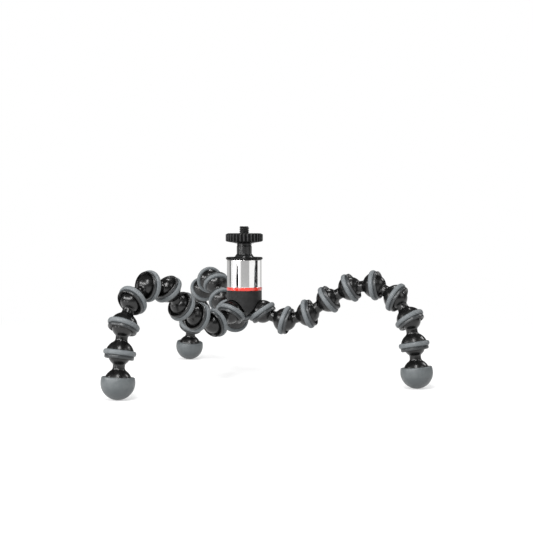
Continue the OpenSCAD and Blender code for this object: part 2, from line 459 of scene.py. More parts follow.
class EffectLibrary:
    """Builds each shader group once and hands it out."""

    def __init__(self) -> None:
        """Start with no group built."""
        self.groups: dict[Effect, Tree] = {}

    def get(self, effect: Effect) -> Tree:
        """Return an effect's group, built on its first use.

        Args:
            effect: The effect.

        Returns:
            The group's node tree.
        """
        if effect not in self.groups:
            self.groups[effect] = getattr(self, f"_{effect.value}")()
        return self.groups[effect]

    @staticmethod
    def _start(effect: Effect, **inputs: float) -> tuple[Wiring, dict[str, Socket]]:
        """Make an empty group with number inputs.

        Args:
            effect: The effect that names the group.
            inputs: Default values by socket name.

        Returns:
            The group's wiring, and the sockets that give its inputs.
        """
        group = bpy.data.node_groups.new(effect.value, "ShaderNodeTree")
        for name, value in inputs.items():
            socket = group.interface.new_socket(name, in_out="INPUT", socket_type="NodeSocketFloat")
            socket.default_value = value
        wiring = Wiring(group)
        return wiring, wiring.add("NodeGroupInput").outputs

    @staticmethod
    def _end(wiring: Wiring, name: str, result: Socket) -> Tree:
        """Give a group its number output.

        Args:
            wiring: The group's wiring.
            name: Name of the output.
            result: The socket that feeds it.

        Returns:
            The finished group.
        """
        wiring.tree.interface.new_socket(name, in_out="OUTPUT", socket_type="NodeSocketFloat")
        wiring.add("NodeGroupOutput", {name: result})
        return wiring.tree

    def _clouds(self) -> Tree:
        """Build soft patches, as of handling and uneven moulding.

        Returns:
            The group.
        """
        wiring, given = self._start(Effect.CLOUDS, Scale=200.0, Low=0.35, High=0.65)
        noise = wiring.noise(given["Scale"], detail=4.0, roughness=0.6)
        return self._end(wiring, "Mask", wiring.ramp(noise, given["Low"], given["High"]))

    def _grain(self) -> Tree:
        """Build the fine pebbled texture of moulded rubber and plastic.

        Returns:
            The group.
        """
        wiring, given = self._start(Effect.GRAIN, Scale=4000.0, Pebbles=0.5)
        noise = wiring.noise(given["Scale"], detail=3.0)
        inputs = {"Vector": wiring.object_places(), "Scale": given["Scale"]}
        pebbles = wiring.add("ShaderNodeTexVoronoi", inputs, feature="SMOOTH_F1").outputs["Distance"]
        return self._end(wiring, "Height", wiring.mix_values(given["Pebbles"], noise, pebbles))

    def _turning_marks(self) -> Tree:
        """Build the fine rings that turning or polishing leaves around an axis.

        Returns:
            The group.
        """
        wiring, given = self._start(Effect.TURNING, Scale=3000.0)
        radius, height = wiring.own_axes()
        inputs = {"W": wiring.math("ADD", radius, height), "Scale": given["Scale"], "Detail": 2.0}
        noise = wiring.add("ShaderNodeTexNoise", inputs, noise_dimensions="1D")
        return self._end(wiring, "Height", noise.outputs["Fac"])

    def _rim_wear(self) -> Tree:
        """Build a mask that is full at a piece's outer rim, broken up by handling.

        Returns:
            The group.
        """
        wiring, given = self._start(Effect.RIM_WEAR, Inner=0.008, Outer=0.0094)
        radius, _ = wiring.own_axes()
        rise = wiring.ramp(radius, given["Inner"], given["Outer"])
        noise = wiring.noise(scale=500.0, detail=5.0)
        broken = wiring.ramp(noise, low=0.3, high=0.6, start=0.45, end=1.0)
        return self._end(wiring, "Mask", wiring.math("MULTIPLY", rise, broken))

    def _band(self) -> Tree:
        """Build a mask that is full outside a radius and between two heights of a piece's own axis.

        Returns:
            The group.
        """
        wiring, given = self._start(Effect.BAND, Inner=0.007, Low=0.0, High=0.001, Edge=0.0001)
        radius, height = wiring.own_axes()
        above = wiring.math("SUBTRACT", height, given["Low"])
        below = wiring.math("SUBTRACT", given["High"], height)
        outside = wiring.math("SUBTRACT", radius, given["Inner"])
        depth = wiring.math("MINIMUM", wiring.math("MINIMUM", above, below), outside)
        return self._end(wiring, "Mask", wiring.ramp(depth, 0.0, given["Edge"]))


EFFECTS = EffectLibrary()


@dataclass(frozen=True)
class Band:
    """A ring of another tone around a piece, by its own axis, in millimetres."""

    inner: float
    low: float
    high: float
    tone: Colour
    roughness: float
    edge: float = 0.12


@dataclass(frozen=True)
class Finish:
    """One surface finish: two tones, a range of gloss and a relief.

    Sizes of patches and grain are in millimetres. Depths are in thousandths of one. The gloss changes
    over wider patches than the tone. Where a rim is worn, its wear takes the most of the tone's mask.
    """

    slot: Slot
    dark: Colour
    light: Colour
    smooth: float
    rough: float
    patch_size: float = 5.0
    gloss_spread: float = 0.6
    grain_size: float = 0.25
    grain_depth: float = 4.0
    pebbles: float = 0.4
    metallic: float = 0.0
    specular: float = 0.5
    coat: float = 0.0
    turned_lines: bool = False
    worn_rim: tuple[float, float] | None = None
    wear_share: float = 0.65
    band: Band | None = None

    def material(self) -> bpy.types.Material:
        """Return the finish's material, made on its first use."""
        name = f"{self.slot.value}_finish"
        return bpy.data.materials.get(name) or self._make(name)

    @staticmethod
    def _effect(wiring: Wiring, effect: Effect, **values: float) -> Socket:
        """Place an effect's group in a material, with values for its inputs, and return its output."""
        return wiring.add("ShaderNodeGroup", values, node_tree=EFFECTS.get(effect)).outputs[0]

    def _make(self, name: str) -> bpy.types.Material:
        """Build the node tree of the finish.

        Args:
            name: Name of the material.

        Returns:
            The material.
        """
        material = bpy.data.materials.new(name)
        material.diffuse_color = (*self.light, 1.0)
        wiring = Wiring.fresh(material)
        tone, gloss = self._tone(wiring), self._gloss(wiring)
        if self.band:
            tone, gloss = self._banded(wiring, tone, gloss)
        shader = wiring.add("ShaderNodeBsdfPrincipled", {
            "Base Color": tone,
            "Roughness": gloss,
            "Normal": self._relief(wiring),
            "Metallic": self.metallic,
            "Specular IOR Level": self.specular,
            "Coat Weight": self.coat,
            "Coat Roughness": COAT_ROUGHNESS,
        })
        wiring.add("ShaderNodeOutputMaterial", {"Surface": shader.outputs[0]})
        return material

    def _tone(self, wiring: Wiring) -> Socket:
        """Blend the two tones over the surface.

        Args:
            wiring: The material's wiring.

        Returns:
            The socket of the colour.
        """
        mask = self._effect(wiring, Effect.CLOUDS, Scale=1.0 / (self.patch_size * MM), Low=0.35, High=0.7)
        if self.worn_rim:
            inner, outer = self.worn_rim
            wear = self._effect(wiring, Effect.RIM_WEAR, Inner=inner * MM, Outer=outer * MM)
            soft = wiring.math("MULTIPLY", mask, 1 - self.wear_share)
            mask = wiring.math("ADD", soft, wiring.math("MULTIPLY", wear, self.wear_share))
        return wiring.mix_colours(mask, (*self.dark, 1.0), (*self.light, 1.0))

    def _gloss(self, wiring: Wiring) -> Socket:
        """Vary the roughness over the surface.

        Args:
            wiring: The material's wiring.

        Returns:
            The socket of the roughness.
        """
        scale = self.gloss_spread / (self.patch_size * MM)
        clouds = self._effect(wiring, Effect.CLOUDS, Scale=scale, Low=0.3, High=0.7)
        return wiring.ramp(clouds, 0.0, 1.0, self.smooth, self.rough)

    def _banded(self, wiring: Wiring, tone: Socket, gloss: Socket) -> tuple[Socket, Socket]:
        """Lay the band over the finish.

        Args:
            wiring: The material's wiring.
            tone: Socket of the colour under the band.
            gloss: Socket of the roughness under the band.

        Returns:
            The sockets of the colour and of the roughness with the band.
        """
        band = self.band
        limits = {"Inner": band.inner, "Low": band.low, "High": band.high, "Edge": band.edge}
        mask = self._effect(wiring, Effect.BAND, **{key: value * MM for key, value in limits.items()})
        banded_tone = wiring.mix_colours(mask, tone, (*band.tone, 1.0))
        return banded_tone, wiring.mix_values(mask, gloss, band.roughness)

    def _relief(self, wiring: Wiring) -> Socket:
        """Raise the grain or the turning marks as bump.

        Args:
            wiring: The material's wiring.

        Returns:
            The socket of the normal.
        """
        scale = 1.0 / (self.grain_size * MM)
        if self.turned_lines:
            height = self._effect(wiring, Effect.TURNING, Scale=scale)
        else:
            height = self._effect(wiring, Effect.GRAIN, Scale=scale, Pebbles=self.pebbles)
        inputs = {"Height": height, "Strength": 1.0, "Distance": self.grain_depth * MM * MM}
        return wiring.add("ShaderNodeBump", inputs).outputs[0]


LINK_GLOSS = Finish(
    Slot.LINK, dark=(0.003, 0.003, 0.003), light=(0.006, 0.006, 0.0061), smooth=0.23, rough=0.31,
    patch_size=6.0, grain_size=0.6, grain_depth=0.3, pebbles=0.1, specular=0.5,
    band=Band(inner=7.75, low=0.75, high=2.4, tone=(0.034, 0.037, 0.039), roughness=0.36),
)
GRIP_RUBBER = Finish(
    Slot.GRIP, dark=(0.105, 0.117, 0.124), light=(0.165, 0.178, 0.185), smooth=0.45, rough=0.58,
    patch_size=3.0, grain_size=0.22, grain_depth=5.0, pebbles=0.5, specular=0.45, worn_rim=(8.4, 9.4),
)
FOOT_RUBBER = Finish(
    Slot.FOOT, dark=(0.088, 0.099, 0.103), light=(0.118, 0.13, 0.134), smooth=0.36, rough=0.5,
    patch_size=4.0, grain_size=0.2, grain_depth=4.0, pebbles=0.5, specular=0.55, worn_rim=(9.1, 9.9),
)
HOUSING_MATTE = Finish(
    Slot.HOUSING, dark=(0.009, 0.009, 0.0092), light=(0.016, 0.016, 0.0163), smooth=0.46, rough=0.58,
    patch_size=4.0, grain_size=0.24, grain_depth=8.0, pebbles=0.7, specular=0.3,
)
SLEEVE_CHROME = Finish(
    Slot.SLEEVE, dark=(0.9, 0.895, 0.885), light=(0.96, 0.957, 0.95), smooth=0.05, rough=0.1,
    patch_size=7.0, grain_size=0.5, grain_depth=0.2, metallic=1.0, turned_lines=True,
)
ACCENT_GLOSS = Finish(
    Slot.ACCENT, dark=(0.66, 0.034, 0.02), light=(0.76, 0.05, 0.03), smooth=0.09, rough=0.15,
    patch_size=5.0, grain_size=0.4, grain_depth=0.4, coat=1.0,
)
WHEEL_SATIN = Finish(
    Slot.WHEEL, dark=(0.003, 0.003, 0.003), light=(0.006, 0.006, 0.006), smooth=0.34, rough=0.44,
    patch_size=3.0, grain_size=0.2, grain_depth=1.0, specular=0.09,
    # The band paints the outer faces of the ribs lighter than the grooves: a painted highlight along the rib
    # crests.
    band=Band(inner=11.45, low=-6.2, high=-0.3, tone=(0.045, 0.045, 0.046), roughness=0.4, edge=0.3),
)
COLLAR_SATIN = Finish(
    Slot.COLLAR, dark=(0.004, 0.004, 0.004), light=(0.008, 0.008, 0.008), smooth=0.26, rough=0.36,
    patch_size=4.0, grain_size=0.2, grain_depth=2.0, specular=0.14,
)
STEM_ANODISED = Finish(
    Slot.STEM, dark=(0.008, 0.0084, 0.0084), light=(0.016, 0.0168, 0.0168), smooth=0.2, rough=0.28,
    patch_size=3.0, grain_size=0.35, grain_depth=0.2, specular=0.55, turned_lines=True,
)
SEAT_NYLON = Finish(
    Slot.SEAT, dark=(0.11, 0.11, 0.11), light=(0.15, 0.15, 0.145), smooth=0.45, rough=0.6, patch_size=4.0,
)


def fit(piece: Piece, body: str, node: str, finish: Finish) -> None:
    """Dress a finished piece and set it on its body.

    Args:
        piece: The finished piece.
        body: The body that it moves with.
        node: The node of the frame that it stands for.
        finish: Its finish.
    """
    piece.data.materials.clear()
    piece.data.materials.append(finish.material())
    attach(piece, body)
    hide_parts(node)
    LOG.info("%s stands for %s on %s, %d faces", piece.name, node, body, len(piece.data.polygons))


# Sub-assemblies


@dataclass
class BallJoint:
    """Sizes that all balls, necks, cups and grip rings of the legs share, along the cup's own axis."""

    ball_r: float = 6.5
    neck_r: float = 3.5
    neck_l: float = 1.2
    neck_blend: float = 1.5
    dome_r: float = 8.2
    dome_edge: float = 0.2
    mouth_rise: float = 1.3
    socket_gap: float = 0.1
    lip_r: float = 8.5
    lip_h: float = 2.2
    lip_round: float = 0.9
    lip_foot: float = 0.25
    grip_r: float = 9.4
    grip_w: float = 3.1
    grip_back: float = 2.5
    grip_seat_r: float = 7.4
    grip_round: float = 1.3
    seat_gap: float = 0.05

    @property
    def grip_top(self) -> float:
        """Height of the grip ring's mouth side."""
        return self.grip_w - self.grip_back

    def shaft(self, reach: float, bulb_r: float) -> tuple[Outline, float]:
        """Outline a ball and its neck, up to the bulb that the neck flares into.

        Args:
            reach: Distance from the ball's centre to the bulb's, which is the origin.
            bulb_r: Radius of the bulb.

        Returns:
            The outline, and the angle in degrees at which it meets the bulb.
        """
        waist = math.sqrt((self.ball_r + self.neck_blend) ** 2 - (self.neck_r + self.neck_blend) ** 2)
        run = reach - waist - self.neck_l
        flare = (run ** 2 - bulb_r ** 2 + self.neck_r ** 2) / (2 * (bulb_r - self.neck_r))
        ball_turn = math.degrees(math.atan2(waist, self.neck_r + self.neck_blend))
        bulb_turn = math.degrees(math.atan2(-run, self.neck_r + flare))
        ball = arc((0.0, -reach), self.ball_r, -90, ball_turn)
        blend = arc((self.neck_r + self.neck_blend, waist - reach), self.neck_blend, 180 + ball_turn, 180)
        widening = arc((self.neck_r + flare, -run), flare, 180, 180 + bulb_turn)
        return ball + blend[1:] + widening[:-1], bulb_turn

    def cup(self, dome_start: float) -> Outline:
        """Outline a cup from its dome over the lip into the socket.

        Args:
            dome_start: Angle in degrees at which the dome starts.

        Returns:
            The outline, which ends on the axis.
        """
        socket_r = self.ball_r + self.socket_gap
        mouth_r = math.sqrt(socket_r ** 2 - self.mouth_rise ** 2)
        lip_top = self.grip_top + self.lip_h
        edge = math.degrees(math.asin(self.grip_back / self.dome_r))
        edge_r = self.dome_r * math.cos(math.radians(edge))
        trim = math.degrees(self.dome_edge / self.dome_r)
        turn = (mouth_r - self.mouth_rise - self.lip_r + lip_top) / self.lip_round
        crest = math.degrees(math.acos(turn / math.sqrt(2))) - 45
        mouth_turn = math.degrees(math.asin(self.mouth_rise / socket_r))
        dome = arc((0.0, 0.0), self.dome_r, dome_start, -edge - trim)
        back, front = -self.grip_back - self.seat_gap, self.grip_top + self.seat_gap
        groove = [(edge_r - self.dome_edge, back), (self.grip_seat_r, back), (self.grip_seat_r, front)]
        foot = arc((self.lip_r - self.lip_foot, front + self.lip_foot), self.lip_foot, -90, 0, TINY_STEP)
        lip = arc((self.lip_r - self.lip_round, lip_top - self.lip_round), self.lip_round, 0, crest, LIP_STEP)
        socket = arc((0.0, 0.0), socket_r, mouth_turn, -90, LIP_STEP)
        return dome + groove + foot + lip + socket

    def grip_outline(self) -> Outline:
        """Outline a rubber grip ring.

        Returns:
            The closed outline.
        """
        bore_r = self.grip_seat_r + self.seat_gap
        turn_r = self.grip_r - self.grip_round
        back = arc((turn_r, self.grip_round - self.grip_back), self.grip_round, -90, 0, FILLET_STEP)
        front = arc((turn_r, self.grip_top - self.grip_round), self.grip_round, 0, 90, FILLET_STEP)
        start = (bore_r, -self.grip_back)
        return [start] + back + front + [(bore_r, self.grip_top), start]


@dataclass
class Leg:
    """One leg: eight links with their grip rings, and the foot."""

    side: Side
    links: int = 8

    def segment(self, index: int) -> str:
        """Return the name of the body that link number index moves with."""
        return f"{self.side.value}_segment_{index}"

    @property
    def foot_body(self) -> str:
        """Name of the foot's body, which is its node's name too."""
        return f"{self.side.value}_foot"

    def ball_centres(self) -> list[Vector]:
        """Return the centres of the links' balls and then of the foot's ball, in metres."""
        bodies = [self.segment(i) for i in range(1, self.links + 1)] + [self.foot_body]
        return [pivot(body) for body in bodies]

    def build(self, link: Piece, ring: Piece, foot: "Foot") -> None:
        """Copy the patterns of the link, ring and foot to their places on this leg.

        Args:
            link: Pattern of a link, with its cup's centre at the origin.
            ring: Pattern of a grip ring, on the same axes.
            foot: The foot, with its patterns made.
        """
        centres = self.ball_centres()
        for index, (ball, cup) in enumerate(zip(centres, centres[1:]), start=1):
            place = aimed(cup, cup - ball)
            moulding = placed_copy(link, f"{self.side.value}_leg_link_{index}", place)
            fit(moulding, self.segment(index), f"{self.side.value}_link_{index}", LINK_GLOSS)
            grip = placed_copy(ring, f"{self.side.value}_leg_grip_{index}", place)
            fit(grip, self.segment(index), f"{self.side.value}_ring_{index}", GRIP_RUBBER)
        foot.build(self.side, centres[-1], self.foot_body)


@dataclass
class Foot:
    """A foot: the moulded ball, neck and dome, and the rubber cap over the dome."""

    joint: BallJoint
    radius: float = 9.9
    reach: float = 16.0
    dome_r: float = 8.1
    rim: float = 3.2
    rim_round: float = 0.6
    sole: float = 4.5
    seat_gap: float = 0.05
    core: Piece | None = field(default=None, repr=False)
    cap: Piece | None = field(default=None, repr=False)

    def make_patterns(self) -> None:
        """Model the core and the cap once, with the foot's centre at the origin and the sole at +Z."""
        flat = self.radius - self.sole
        shaft, dome_start = self.joint.shaft(self.reach, self.dome_r)
        dome_end = math.degrees(math.asin(flat / self.dome_r))
        dome = arc((0.0, 0.0), self.dome_r, dome_start, dome_end)
        self.core = turned("foot_core_pattern", shaft + dome + [(0.0, flat)])
        bore_r = self.dome_r + self.seat_gap
        bore_flat = flat + self.seat_gap
        edge_z = self.rim_round - self.rim
        edge_r = math.sqrt((self.radius - self.rim_round) ** 2 - edge_z ** 2)
        edge_turn = math.degrees(math.atan2(edge_z, edge_r))
        edge = arc((edge_r, edge_z), self.rim_round, -90, edge_turn, EDGE_STEP)
        skin = arc((0.0, 0.0), self.radius, edge_turn, 90, SKIN_STEP)
        bore_top = math.degrees(math.asin(bore_flat / bore_r))
        bore_end = -math.degrees(math.asin(self.rim / bore_r))
        bore = arc((0.0, 0.0), bore_r, bore_top, bore_end, BORE_STEP)
        self.cap = turned("foot_cap_pattern", edge + skin[1:] + [(0.0, bore_flat)] + bore + edge[:1])

    def build(self, side: Side, ball: Vector, body: str) -> None:
        """Copy the core and the cap to one leg's foot.

        Args:
            side: The leg.
            ball: Centre of the foot's ball, in metres.
            body: The foot's body, whose node has the same name.
        """
        low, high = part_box(body)
        middle = (low + high) / 2
        centre = Vector((middle.x, middle.y, low.z + self.radius * MM))
        place = aimed(centre, centre - ball)
        core = placed_copy(self.core, f"{side.value}_foot_core", place)
        fit(core, body, body, LINK_GLOSS)
        cap = placed_copy(self.cap, f"{side.value}_foot_cap", place)
        fit(cap, body, body, FOOT_RUBBER)


@dataclass
class Hub:
    """The hub: its housing, the three cups that the legs start from, and their grip rings."""

    joint: BallJoint
    body: str = "hub"
    cup_dive: float = 55.0
    core_r: float = 5.5
    core_round: float = 0.6
    bore_r: float = 5.6
    post_r: float = 7.8
    housing_round: float = 0.45
    pocket_gap: float = 0.5
    pocket_front: float = 6.0
    scallop_gap: float = 2.2
    scallop_flare: float = 17.0
    scallop_round: float = 0.25
    scallop_round_steps: int = 3

    def cup_places(self) -> dict[Side, Matrix]:
        """Aim the hub cups.

        Returns:
            Where each cup's own axes lie.
        """
        dive = math.radians(self.cup_dive)
        places = {}
        for side in Side:
            centre = pivot(f"{side.value}_segment_1")
            away = Vector((centre.x, centre.y, 0.0)).normalized()
            mouth = away * math.cos(dive) - Vector((0.0, 0.0, math.sin(dive)))
            places[side] = aimed(centre, mouth)
        return places

    def build(self, ring: Piece) -> None:
        """Model the cups and the core, and dress the housing.

        Args:
            ring: Pattern of a grip ring.
        """
        cup = turned("hub_cup_pattern", self.joint.cup(-90))
        for side, place in self.cup_places().items():
            fit(placed_copy(cup, f"hub_cup_{side.value}", place), self.body, "leg_spider", LINK_GLOSS)
            fit(placed_copy(ring, f"hub_grip_{side.value}", place), self.body, "hub_grip_rings", GRIP_RUBBER)
        discard(cup)
        self.core()
        self.housing()

    def core(self) -> None:
        """Model the core that joins the three cups."""
        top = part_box("leg_spider")[1].z / MM
        base = pivot(f"{Side.LEFT.value}_segment_1").z / MM
        crown = arc((self.core_r - self.core_round, top - self.core_round), self.core_round, 0, 90, EDGE_STEP)
        core = turned("hub_core", [(0.0, base), (self.core_r, base)] + crown + [(0.0, top)])
        fit(core, self.body, "leg_spider", LINK_GLOSS)

    def pocket(self, reach: float) -> Outline:
        """Outline the cut behind a hub cup, on the cup's own axes.

        Args:
            reach: Radius that the cut's flare goes out to.

        Returns:
            The outline, with both ends on the axis.
        """
        radius = self.joint.dome_r + self.pocket_gap
        back = self.joint.grip_back + self.scallop_gap
        turn = math.degrees(math.asin(back / radius))
        rise = (reach - radius * math.cos(math.radians(turn))) * math.tan(math.radians(self.scallop_flare))
        round_end = arc((0.0, 0.0), radius, -90, -turn)
        return round_end + [(reach, rise - back), (reach, self.pocket_front), (0.0, self.pocket_front)]

    def housing(self) -> None:
        """Model the housing: a bored cylinder with a post, cut back behind the three cups."""
        low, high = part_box("hub_housing")
        radius, base, post_top = high.x / MM, low.z / MM, high.z / MM
        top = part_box("accent_ring")[0].z / MM
        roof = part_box("leg_spider")[1].z / MM
        rounding = self.housing_round
        shoulder = arc((radius - rounding, top - rounding), rounding, 0, 90, EDGE_STEP)
        outline = [(0.0, roof), (self.bore_r, roof), (self.bore_r, base), (radius, base)]
        outline += shoulder + [(self.post_r, top), (self.post_r, post_top), (0.0, post_top)]
        housing = turned("scalloped_housing", outline, FINE_SEGMENTS)
        pattern = turned("pocket_pattern", self.pocket(2 * radius))
        for place in self.cup_places().values():
            tool = placed_copy(pattern, "pocket", place)
            modify(housing, "BOOLEAN", object=tool, operation="DIFFERENCE", solver="EXACT")
            discard(tool)
        discard(pattern)
        with editing(housing):
            close_mesh()
        modify(
            housing, "BEVEL", width=self.scallop_round * MM, segments=self.scallop_round_steps,
            limit_method="ANGLE", angle_limit=SMOOTH_ANGLE, harden_normals=True,
        )
        settle(housing)
        fit(housing, self.body, "hub_housing", HOUSING_MATTE)


@dataclass
class LockWheel:
    """The ribbed lock wheel that turns on the stem's shank."""

    ribs: int = 30
    rib_points: int = 10
    rib_depth: float = 0.9
    rib_softness: float = 0.7
    rib_end_share: float = 0.6
    rib_end_in: float = 0.25
    cone_h: float = 1.0
    foot_r: float = 6.0
    foot_chamfer: float = 0.2
    hole_r: float = 3.8
    hole_chamfer: float = 0.3
    rim_round: float = 0.7
    rim_round_share: float = 0.7
    shoulder_in: float = 0.1
    bottom_round: float = 0.9
    bottom_in: float = 0.3
    seat_edge_in: float = 0.6
    seat_grooves_in: float = 1.2
    seat_grooves: int = 3
    seat_groove_shift: float = 0.6
    seat_groove_depth: float = 0.25
    seat_groove_w: float = 0.6
    seat_groove_flank: float = 0.15

    def build(self) -> None:
        """Model the ribbed wheel: a waved rim, a cone under it and a grooved seat on top."""
        radius, base, _ = span("lock_wheel")
        start = base + self.cone_h + self.bottom_round
        deselect()
        count = self.ribs * self.rib_points
        bpy.ops.mesh.primitive_circle_add(vertices=count, radius=radius * MM, location=(0, 0, 0))
        wheel = named("lock_wheel_ribbed")
        with editing(wheel):
            for phase in range(self.rib_points):
                self.select_where(lambda vertex: vertex.index % self.rib_points == phase)
                wave = 0.5 - 0.5 * math.cos(math.tau * phase / self.rib_points)
                self.scale_loop(1 - self.rib_depth / radius * wave ** self.rib_softness, 0.0)
            bpy.ops.mesh.select_all(action="SELECT")
            bpy.ops.transform.translate(value=(0.0, 0.0, start * MM))
            self.top(start, radius)
            self.select_where(lambda vertex: abs(vertex.co.z / MM - start) < LEVEL_TOLERANCE)
            self.underside(start, base, radius)
            close_mesh()
        settle(wheel)
        fit(wheel, "wheel", "lock_wheel", WHEEL_SATIN)

    def top(self, start: float, radius: float) -> None:
        """Raise the rim and close the seat, with its round grooves, down to the hole.

        Args:
            start: Height of the selected loop, in millimetres.
            radius: Radius of the wheel.
        """
        root_r = radius - self.rib_depth
        grooves_r = root_r - self.seat_grooves_in
        pitch = (grooves_r - self.hole_r) / (self.seat_grooves + 1)
        shoulder = self.rim_round * (self.rim_round_share - 1)
        loops = [(-self.rim_round, None), (shoulder, root_r - self.shoulder_in)]
        loops.append((0.0, root_r - self.seat_edge_in))
        for groove in range(self.seat_grooves):
            outer = grooves_r - pitch * (groove + self.seat_groove_shift)
            inner = outer - self.seat_groove_w
            loops += [(0.0, outer), (-self.seat_groove_depth, outer - self.seat_groove_flank)]
            loops += [(-self.seat_groove_depth, inner + self.seat_groove_flank), (0.0, inner)]
        chamfer = self.hole_chamfer
        loops += [(0.0, self.hole_r + chamfer), (-chamfer, self.hole_r)]
        self.draw_loops(start, loops)

    def underside(self, start: float, base: float, radius: float) -> None:
        """Round the ribs' lower ends in, and close the cone up into the hole.

        Args:
            start: Height of the selected loop, in millimetres.
            base: Height of the wheel's underside.
            radius: Radius of the wheel.
        """
        rib_end = start - self.bottom_round * self.rib_end_share
        self.draw_loops(start, [(rib_end, None)])
        self.scale_loop(1 - self.rib_end_in / radius, rib_end)
        chamfer = self.foot_chamfer
        self.draw_loops(rib_end, [
            (base + self.cone_h, radius - self.rib_depth - self.bottom_in),
            (base + chamfer, self.foot_r + chamfer),
            (base, self.foot_r),
            (base, self.hole_r),
            (-self.hole_chamfer, self.hole_r),
        ])

    @staticmethod
    def scale_loop(ratio: float, height: float) -> None:
        """Scale the selected loop about the axis, at its height in millimetres."""
        bpy.ops.transform.resize(value=(ratio, ratio, 1.0), center_override=(0.0, 0.0, height * MM))

    def draw_loops(self, start: float, loops: list[tuple[float, float | None]]) -> None:
        """Extrude the selected loop through a row of new loops.

        Args:
            start: Height of the selected loop, in millimetres.
            loops: Each loop's height, and the radius that makes it a circle or None to keep its ribs.
        """
        heights = [start] + [height for height, _ in loops]
        for below, (height, radius) in zip(heights, loops):
            rise = (0.0, 0.0, (height - below) * MM)
            bpy.ops.mesh.extrude_region_move(TRANSFORM_OT_translate={"value": rise})
            if radius is not None:
                bpy.ops.transform.tosphere(value=1.0)
                mesh = bmesh.from_edit_mesh(bpy.context.object.data)
                now = next(math.hypot(v.co.x, v.co.y) for v in mesh.verts if v.select)
                self.scale_loop(radius * MM / now, height)

    @staticmethod
    def select_where(test: Callable[[bmesh.types.BMVert], bool]) -> None:
        """Select the vertices of the edited mesh that pass a test.

        Args:
            test: The test of one vertex.
        """
        mesh = bmesh.from_edit_mesh(bpy.context.object.data)
        for vertex in mesh.verts:
            vertex.select = test(vertex)
        mesh.select_flush_mode()
        bmesh.update_edit_mesh(bpy.context.object.data)


@dataclass
class BallStem:
    """The head's ball with its stem and shank, and the mounting screw above them."""

    screw_r: float = 3.175
    screw_pitch: float = 1.27
    screw_steps: int = 48
    screw_spare_turns: int = 2
    thread_depth: float = 0.55
    thread_flat_share: float = 0.125
    screw_tip: float = 0.6
    screw_sunk: float = 0.35
    shank_r: float = 3.7
    shank_chamfer: float = 0.2
    stem_r: float = 4.85
    stem_bead_r: float = 4.7
    stem_bead_h: float = 1.5
    stem_bead_edge: float = 0.15
    stem_groove: float = 0.25
    ball_r: float = 7.0
    ball_fillet: float = 0.8

    def build(self) -> None:
        """Model and dress the screw and the stem."""
        self.screw()
        self.stem()

    def screw(self) -> None:
        """Model the mounting screw with its helical thread."""
        top = span("ball_stem")[2]
        root_r = self.screw_r - self.thread_depth
        flat = self.screw_pitch * self.thread_flat_share
        slope = (self.screw_pitch - 2 * flat) / 2
        tooth = [(root_r, 0.0), (root_r, flat), (self.screw_r, flat + slope)]
        tooth += [(self.screw_r, 2 * flat + slope), (root_r, self.screw_pitch)]
        foot = -self.screw_spare_turns * self.screw_pitch
        turns = math.ceil(top / self.screw_pitch) + self.screw_spare_turns + 1
        screw = chain("camera_screw", [(radius, foot + rise) for radius, rise in tooth])
        modify(
            screw, "SCREW", axis="Z", steps=self.screw_steps, render_steps=self.screw_steps, iterations=turns,
            screw_offset=self.screw_pitch * MM, use_merge_vertices=True, merge_threshold=MERGE_DISTANCE,
        )
        with editing(screw):
            close_mesh()
            self.taper_tip(top)
            for height, outwards in ((-self.screw_sunk, -1.0), (top, 1.0)):
                bpy.ops.mesh.select_all(action="SELECT")
                bpy.ops.mesh.bisect(
                    plane_co=(0, 0, height * MM), plane_no=(0, 0, outwards), use_fill=True, clear_outer=True,
                    threshold=MERGE_DISTANCE,
                )
            close_mesh()
        settle(screw)
        fit(screw, "stem", "ball_stem", STEM_ANODISED)

    def taper_tip(self, top: float) -> None:
        """Draw the thread in to a cone at the screw's tip.

        Args:
            top: Height of the tip, in millimetres.
        """
        mesh = bmesh.from_edit_mesh(bpy.context.object.data)
        tip_r = self.screw_r - self.screw_tip
        for vertex in mesh.verts:
            radius = math.hypot(vertex.co.x, vertex.co.y) / MM
            limit = max(tip_r, tip_r + top - vertex.co.z / MM)
            if radius > limit:
                vertex.co.x *= limit / radius
                vertex.co.y *= limit / radius
        bmesh.update_edit_mesh(bpy.context.object.data)

    def stem(self) -> None:
        """Model the head's ball, the stem with its bead and the shank in the wheel."""
        centre = pivot("stem").z / MM
        base = span("lock_wheel")[1]
        reach = math.sqrt((self.ball_r + self.ball_fillet) ** 2 - (self.stem_r + self.ball_fillet) ** 2)
        turn = math.degrees(math.atan2(reach, self.stem_r + self.ball_fillet))
        ball = arc((0.0, centre), self.ball_r, -90, turn, BALL_STEP)
        fillet_centre = (self.stem_r + self.ball_fillet, centre + reach)
        fillet = arc(fillet_centre, self.ball_fillet, 180 + turn, 180, FILLET_STEP)
        bead_z = base - self.stem_bead_h
        groove_z = bead_z - self.stem_groove
        edge = self.stem_bead_edge
        bead = [
            (self.stem_r, groove_z - self.stem_groove),
            (self.stem_r - self.stem_groove, groove_z),
            (self.stem_bead_r - edge, bead_z),
            (self.stem_bead_r, bead_z + edge),
            (self.stem_bead_r, base - edge),
            (self.stem_bead_r - edge, base),
        ]
        chamfer = self.shank_chamfer
        shank = [(self.shank_r, base), (self.shank_r, -chamfer), (self.shank_r - chamfer, 0.0), (0.0, 0.0)]
        stem = turned("ball_and_stem", ball + fillet[1:] + bead + shank)
        fit(stem, "stem", "ball_stem", STEM_ANODISED)


